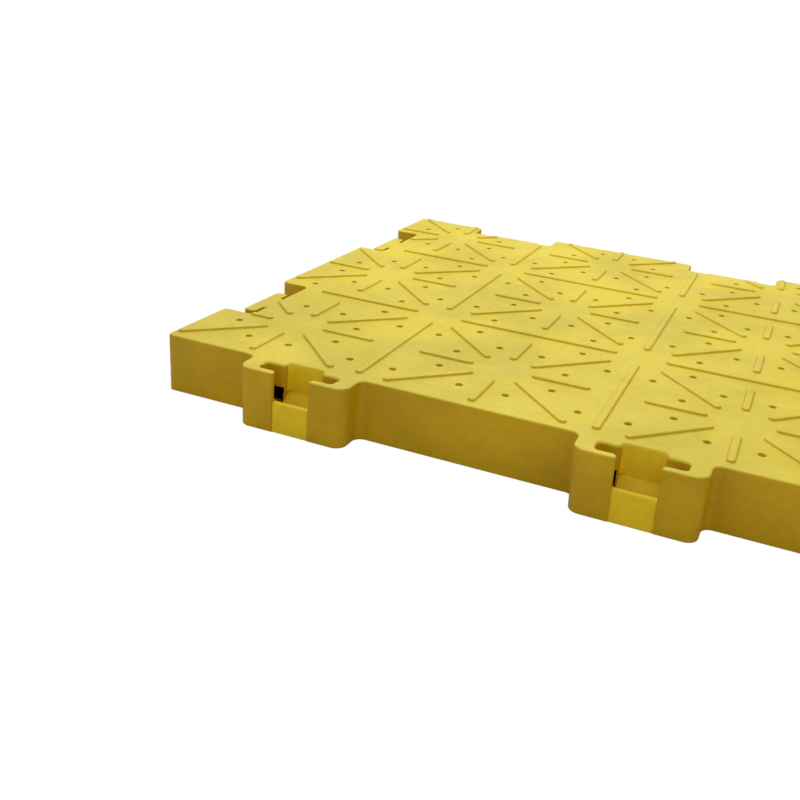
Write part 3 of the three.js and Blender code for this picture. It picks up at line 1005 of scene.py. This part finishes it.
    @staticmethod
    def mark_painted_fill_light(piece, link, top):
        """Marks the panels, ramps and inner walls of the slots, and the drain holes' bores, for the painted
        fill light that lightens them.
        """
        mesh = piece.data
        fill_light_marks = mesh.attributes.new("painted_fill_light", "FLOAT", "FACE")
        front, back = boss_face(), boss_face() + PAST_SLOT * link.depth
        inside = link.neck - SLIVER
        under = top - bpy.context.scene.spill_deck.wall
        for number, face in enumerate(mesh.polygons):
            x, y, z = face.center - Vector((MIDDLE.x, MIDDLE.y, 0.0))
            turned = (y, -x)
            for across, along in ((x, y), turned):
                in_mouth = any(abs(across - place) < inside for place in connector_places())
                if in_mouth and front + link.panel_set / 2 < along < back and z < top - link.lead:
                    fill_light_marks.data[number].value = 1.0
            # The drain holes' bores get the same painted fill light.
            if under < z < top and abs(face.normal.z) < 0.05 and face.area < BORE_FACET:
                fill_light_marks.data[number].value = 1.0


class SPILL_OT_tray(Operator):
    """Builds the sump tray with the sockets that hold the supports"""

    bl_idname = "spill.tray"
    bl_label = "Sump tray"

    def execute(self, context):
        """Hollows the tray, raises its sockets, drills it for the drain and rounds its edges."""
        deck, sump = context.scene.spill_deck, context.scene.spill_sump
        inset = deck.wall + deck.tray_gap
        rim = TRAY_HIGH[UP]
        piece = prism(rounded(tray_corners(), inset), 0.0, rim)
        piece.name = "tray_moulding"
        combine(piece, prism(rounded(tray_corners(), inset + sump.wall), sump.wall, rim + sump.wall))
        for hub, name in zip(HUBS, SUPPORTS):
            combine(piece, self.socket(hub, name, sump), "UNION")
        low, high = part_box("drain_bush")
        bore = (high[UP] - low[UP]) / 2 * BORE_SHARE
        reach = 4 * sump.wall
        drill = [(0.0, -reach), (bore, -reach), (bore, reach), (0.0, reach)]
        combine(piece, lathe("drill", drill, 32, (DRAIN_AXIS.x, low[AWAY] + reach / 2, DRAIN_AXIS.z), "Y"))
        round_edges(piece, sump.edge, 2)
        black = moulded_black("tray_black", context.scene.spill_finish.tray, 0.50, 210.0, 0.0004)
        finish_piece(piece, "sump", "tray_polyethylene", black, "sump_tray")
        return {"FINISHED"}

    @staticmethod
    def socket(hub, name, sump):
        """A ring round a support's foot, with four gaps that let the liquid through."""
        low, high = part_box(name)
        inner = (high[AWAY] - low[AWAY]) / 2 + SOCKET_PLAY
        outer = inner + sump.socket_wall
        top = sump.wall + sump.socket_height
        profile = [(inner, sump.wall / 2), (outer, sump.wall / 2), (outer, top), (inner, top)]
        ring = lathe("socket", profile, 48, (hub.x, hub.y, 0.0), "Z")
        x, y, half = hub.x - MIDDLE.x, hub.y - MIDDLE.y, sump.socket_slot / 2
        combine(ring, block(x - half, x + half, y - 2 * outer, y + 2 * outer, 0.0, 2 * top))
        combine(ring, block(x - 2 * outer, x + 2 * outer, y - half, y + half, 0.0, 2 * top))
        return ring


class SPILL_OT_supports(Operator):
    """Builds the hollow columns that carry the deck's load"""

    bl_idname = "spill.supports"
    bl_label = "Load supports"

    def execute(self, context):
        """Builds one fluted column for each support of the frame."""
        sump = context.scene.spill_sump
        black = moulded_black("support_black", context.scene.spill_finish.tray, 0.46, 240.0, 0.0003)
        for name in SUPPORTS:
            piece = self.column(name, sump)
            finish_piece(piece, "sump", "tray_polyethylene", black, name)
        return {"FINISHED"}

    @staticmethod
    def column(name, sump):
        """A tapered column with a rounded head, shallow flutes, an open foot and weep notches."""
        low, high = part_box(name)
        hub = middle_of(name)
        foot = (high[AWAY] - low[AWAY]) / 2
        tall = high[UP] - low[UP]
        head, wall, bend = sump.support_head, sump.support_wall, 0.006
        outer = [(foot, 0.0), (foot, 0.010)]
        outer += [(foot + (head - foot) * t, tall * t) for t in (0.16, 0.24, 0.40, 0.60, 0.78, 0.86)]
        turns = [math.pi / 2 * k / 4 for k in range(5)]
        outer += [(head - bend + bend * math.cos(t), tall - bend + bend * math.sin(t)) for t in turns]
        inner = [(head - wall - 0.001, tall - wall), (foot - wall, 0.0)]
        profile = [*outer, (0.0, tall), (0.0, tall - wall), *inner]
        steps = 8 * sump.flutes
        piece = lathe(name.replace("support", "column"), profile, steps, (hub.x, hub.y, low[UP]), "Z")
        for vert in piece.data.vertices:
            arm = vert.co.xy - hub.xy
            share_up = (vert.co.z - low[UP]) / tall
            outside = arm.length > foot + (head - foot) * share_up - wall / 2
            if outside and 0.2 < share_up < 0.82:
                wave = 0.5 - 0.5 * math.cos(sump.flutes * math.atan2(arm.y, arm.x))
                vert.co.xy = hub.xy + arm * (1 - sump.flute_depth * wave / arm.length)
        x, y = hub.x - MIDDLE.x, hub.y - MIDDLE.y
        reach, half, notch_top = 2 * foot, sump.weep, low[UP] + sump.weep
        combine(piece, block(x - reach, x + reach, y - half, y + half, 0.0, notch_top))
        combine(piece, block(x - half, x + half, y - reach, y + reach, 0.0, notch_top))
        return piece


class SPILL_OT_drain(Operator):
    """Builds the drain: bush, nut, gasket, seal and plug"""

    bl_idname = "spill.drain"
    bl_label = "Drain fitting"

    def execute(self, context):
        """Builds the five pieces about the drain's axis."""
        finish = context.scene.spill_finish
        black = moulded_black("fitting_black", finish.fitting, 0.42, 500.0, 0.0001)
        rubber = moulded_black("seal_rubber", finish.rubber, 0.78, 700.0, 0.0001)
        self.ring("gasket_ring", "bush_gasket", 0.0088, 0.00045, "sump", "seal_rubber", rubber)
        self.ring("seal_ring", "plug_seal", 0.0067, 0.00055, "plug_seat", "seal_rubber", rubber)
        finish_piece(self.bush(), "sump", "fitting_plastic", black, "drain_bush")
        finish_piece(self.nut(), "sump", "fitting_plastic", black, "bush_nut")
        finish_piece(self.plug(), "plug", "fitting_plastic", black, "drain_plug")
        return {"FINISHED"}

    @staticmethod
    def ring(name, node, inner, edge, body, slot, material):
        """A flat ring with rounded edges."""
        low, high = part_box(node)
        outer, thick = (high[UP] - low[UP]) / 2, high[AWAY] - low[AWAY]
        turns = [math.pi / 2 * k / 3 for k in range(4)]
        profile = []
        for radius, along, first in (
            (outer - edge, thick - edge, 0.0), (inner + edge, thick - edge, 0.5 * math.pi),
            (inner + edge, edge, math.pi), (outer - edge, edge, 1.5 * math.pi),
        ):
            angles = [first + t for t in turns]
            profile += [(radius + edge * math.cos(a), along + edge * math.sin(a)) for a in angles]
        piece = lathe(name, profile, 48, (DRAIN_AXIS.x, low[AWAY], DRAIN_AXIS.z), "Y")
        finish_piece(piece, body, slot, material, node)

    @staticmethod
    def thread(radius, depth, start, end, pitch):
        """Profile points of a thread's crests and roots between two places."""
        points = []
        turns = int(abs(end - start) / pitch)
        step = math.copysign(pitch, end - start)
        for k in range(turns):
            points += [(radius - depth, start + step * k), (radius, start + step * (k + 0.5))]
        return points + [(radius - depth, start + step * turns)]

    def bush(self):
        """A flanged bush with a chamfered flange and an outer thread."""
        low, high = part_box("drain_bush")
        flange, long = (high[UP] - low[UP]) / 2, high[AWAY] - low[AWAY]
        thick, radius, bore, edge = 0.003, 0.0085, 0.0067, 0.0005
        profile = [(bore, edge), (bore + edge, 0.0)]
        profile += self.thread(radius, 0.0004, 0.0006, long - thick - 0.001, 0.0011)
        shoulder = long - thick
        profile += [(radius - 0.0004, shoulder), (flange - edge, shoulder), (flange, shoulder + edge)]
        profile += [(flange, long - edge), (flange - edge, long), (bore + edge, long), (bore, long - edge)]
        return lathe("bush_moulding", profile, 48, (DRAIN_AXIS.x, low[AWAY], DRAIN_AXIS.z), "Y")

    def nut(self):
        """A six-sided nut with turned-off corners."""
        low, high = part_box("bush_nut")
        corner, thick = (high[ACROSS] - low[ACROSS]) / 2, high[AWAY] - low[AWAY]
        corner = max(corner, (high[UP] - low[UP]) / 2)
        return self.six_sided("nut_moulding", corner, thick, low[AWAY], 0.0088)

    @staticmethod
    def six_sided(name, corner, thick, start, bore):
        """A six-sided block, its corners chamfered by a turned blank, with a bore if there is one."""
        centre = (DRAIN_AXIS.x, start, DRAIN_AXIS.z)
        piece = lathe(name, [(0.0, 0.0), (corner, 0.0), (corner, thick), (0.0, thick)], 6, centre, "Y")
        cut = 0.10 * corner
        blank = [(0.0, 0.0), (corner - cut, 0.0), (corner, 0.6 * cut)]
        blank += [(corner, thick - 0.6 * cut), (corner - cut, thick), (0.0, thick)]
        combine(piece, lathe("blank", blank, 64, centre, "Y"), "INTERSECT")
        if bore:
            drill = [(0.0, -thick), (bore, -thick), (bore, 2 * thick), (0.0, 2 * thick)]
            combine(piece, lathe("drill", drill, 48, centre, "Y"))
        round_edges(piece, 0.0003, 2, math.radians(25))
        return piece

    def plug(self):
        """A six-sided head with a dished face, on a threaded shank."""
        low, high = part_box("drain_plug")
        seal_low, seal_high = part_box("plug_seal")
        seat = seal_high[AWAY] + 0.0003
        corner = max(high[ACROSS] - low[ACROSS], high[UP] - low[UP]) / 2
        piece = self.six_sided("plug_moulding", corner, high[AWAY] - seat, seat, 0.0)
        dish = [(0.0, -0.0018), (0.0052, -0.0018), (0.0060, 0.002), (0.0, 0.002)]
        combine(piece, lathe("dish", dish, 48, (DRAIN_AXIS.x, high[AWAY], DRAIN_AXIS.z), "Y"))
        radius, long = 0.0064, seat - low[AWAY]
        shank = [(0.0, 0.0), (radius - 0.0012, 0.0)]
        shank += self.thread(radius, 0.0004, 0.0009, long - 0.0022, 0.0011)
        shank += [(radius - 0.0004, long), (radius - 0.0004, long + 0.001), (0.0, long + 0.001)]
        combine(piece, lathe("shank", shank, 48, (DRAIN_AXIS.x, low[AWAY], DRAIN_AXIS.z), "Y"), "UNION")
        return piece


class SPILL_OT_stage(Operator):
    """Sets the camera, the white floor and the soft studio light"""

    bl_idname = "spill.stage"
    bl_label = "Stage"

    def execute(self, context):
        """Builds the stage round the pallet."""
        stage = context.scene.spill_stage
        self.camera(context, stage)
        self.floor(stage)
        self.light(context, stage)
        return {"FINISHED"}

    @staticmethod
    def camera(context, stage):
        """A camera that looks down on the front left corner, a little rolled."""
        a, e, roll = stage.azimuth, stage.elevation, stage.roll
        forward = Vector((-math.sin(a) * math.cos(e), math.cos(a) * math.cos(e), -math.sin(e)))
        level = Vector((math.cos(a), math.sin(a), 0.0))
        upright = level.cross(forward)
        right = math.cos(roll) * level + math.sin(roll) * upright
        above = right.cross(forward)
        data = bpy.data.cameras.new("camera")
        data.lens = stage.lens
        data.sensor_width = 36.0
        data.shift_x = stage.shift
        data.shift_y = stage.rise
        data.clip_start = 0.05
        camera = bpy.data.objects.new("camera", data)
        context.scene.collection.objects.link(camera)
        turned = Matrix((right, above, -forward)).transposed().to_4x4()
        hub = HUBS[4]
        camera.matrix_world = Matrix.Translation(Vector((hub.x, hub.y, 0.0)) + Vector(stage.eye)) @ turned
        context.scene.camera = camera

    @staticmethod
    def white_to_camera(tree, lighting, output):
        """Joins a pure white to what the camera sees, and another shader to all other light."""
        seen = tree.nodes.new("ShaderNodeLightPath").outputs["Is Camera Ray"]
        white = tree.nodes.new("ShaderNodeEmission")
        mixed = tree.nodes.new("ShaderNodeMixShader")
        tree.links.new(seen, mixed.inputs[0])
        tree.links.new(lighting, mixed.inputs[1])
        tree.links.new(white.outputs[0], mixed.inputs[2])
        tree.links.new(mixed.outputs[0], output)

    def floor(self, stage):
        """A plain floor that reaches past every view."""
        reach = 40.0
        points = [(-reach, -reach, 0.0), (reach, -reach, 0.0), (reach, reach, 0.0), (-reach, reach, 0.0)]
        floor = object_from("floor", points, [(0, 1, 2, 3)])
        work = Nodes("white_floor")
        work.shader.inputs["Base Color"].default_value = (*stage.floor, 1.0)
        work.shader.inputs["Roughness"].default_value = 0.9
        work.shader.inputs["Specular IOR Level"].default_value = 0.0
        self.white_to_camera(work.tree, work.shader.outputs["BSDF"], work.output.inputs["Surface"])
        floor.data.materials.append(work.material)
        floor.location.z = -0.0005

    def light(self, context, stage):
        """An even sky, white to the camera, and one large soft light above and behind the pallet."""
        world = bpy.data.worlds.new("studio")
        world.use_nodes = True
        nodes = world.node_tree.nodes
        background = nodes["Background"]
        background.inputs["Color"].default_value = (1.0, 1.0, 1.0, 1.0)
        background.inputs["Strength"].default_value = stage.sky
        output = nodes["World Output"].inputs["Surface"]
        self.white_to_camera(world.node_tree, background.outputs["Background"], output)
        context.scene.world = world
        data = bpy.data.lights.new("overhead", "AREA")
        data.shape = "RECTANGLE"
        data.size = 2.6
        data.size_y = 2.0
        data.energy = stage.overhead
        lamp = bpy.data.objects.new("overhead", data)
        context.scene.collection.objects.link(lamp)
        place = Vector((MIDDLE.x - 0.7, MIDDLE.y + 1.3, 2.6))
        lamp.location = place
        lamp.rotation_euler = (Vector((MIDDLE.x, MIDDLE.y, 0.0)) - place).to_track_quat("-Z", "Y").to_euler()
        context.scene.view_settings.view_transform = "Standard"


GROUPS = {
    "spill_deck": SPILL_PG_deck,
    "spill_connector": SPILL_PG_connector,
    "spill_pattern": SPILL_PG_pattern,
    "spill_sump": SPILL_PG_sump,
    "spill_finish": SPILL_PG_finish,
    "spill_stage": SPILL_PG_stage,
}
OPERATORS = (SPILL_OT_deck, SPILL_OT_tray, SPILL_OT_supports, SPILL_OT_drain, SPILL_OT_stage)


class SPILL_PT_sidebar(Panel):
    """Sizes, colours and build steps of the spill pallet"""

    bl_idname = "SPILL_PT_sidebar"
    bl_label = "Spill pallet"
    bl_space_type = "VIEW_3D"
    bl_region_type = "UI"
    bl_category = "Spill pallet"

    def draw(self, context):
        """Lists the operators, then each group of values."""
        for operator in OPERATORS:
            self.layout.operator(operator.bl_idname)
        for name, group in GROUPS.items():
            box = self.layout.box()
            box.label(text=name.replace("spill_", "").capitalize())
            for key in group.__annotations__:
                box.prop(getattr(context.scene, name), key)


CLASSES = (*GROUPS.values(), *OPERATORS, SPILL_PT_sidebar)


def register():
    """Registers the classes and hangs their values on the scene."""
    for item in CLASSES:
        bpy.utils.register_class(item)
    for name, group in GROUPS.items():
        setattr(bpy.types.Scene, name, PointerProperty(type=group))


def unregister():
    """Takes the values off the scene and unregisters the classes."""
    for name in GROUPS:
        delattr(bpy.types.Scene, name)
    for item in reversed(CLASSES):
        bpy.utils.unregister_class(item)


def main():
    """Builds everything in order."""
    register()
    for operator in OPERATORS:
        group, name = operator.bl_idname.split(".")
        getattr(getattr(bpy.ops, group), name)()


if __name__ == "__main__":
    main()
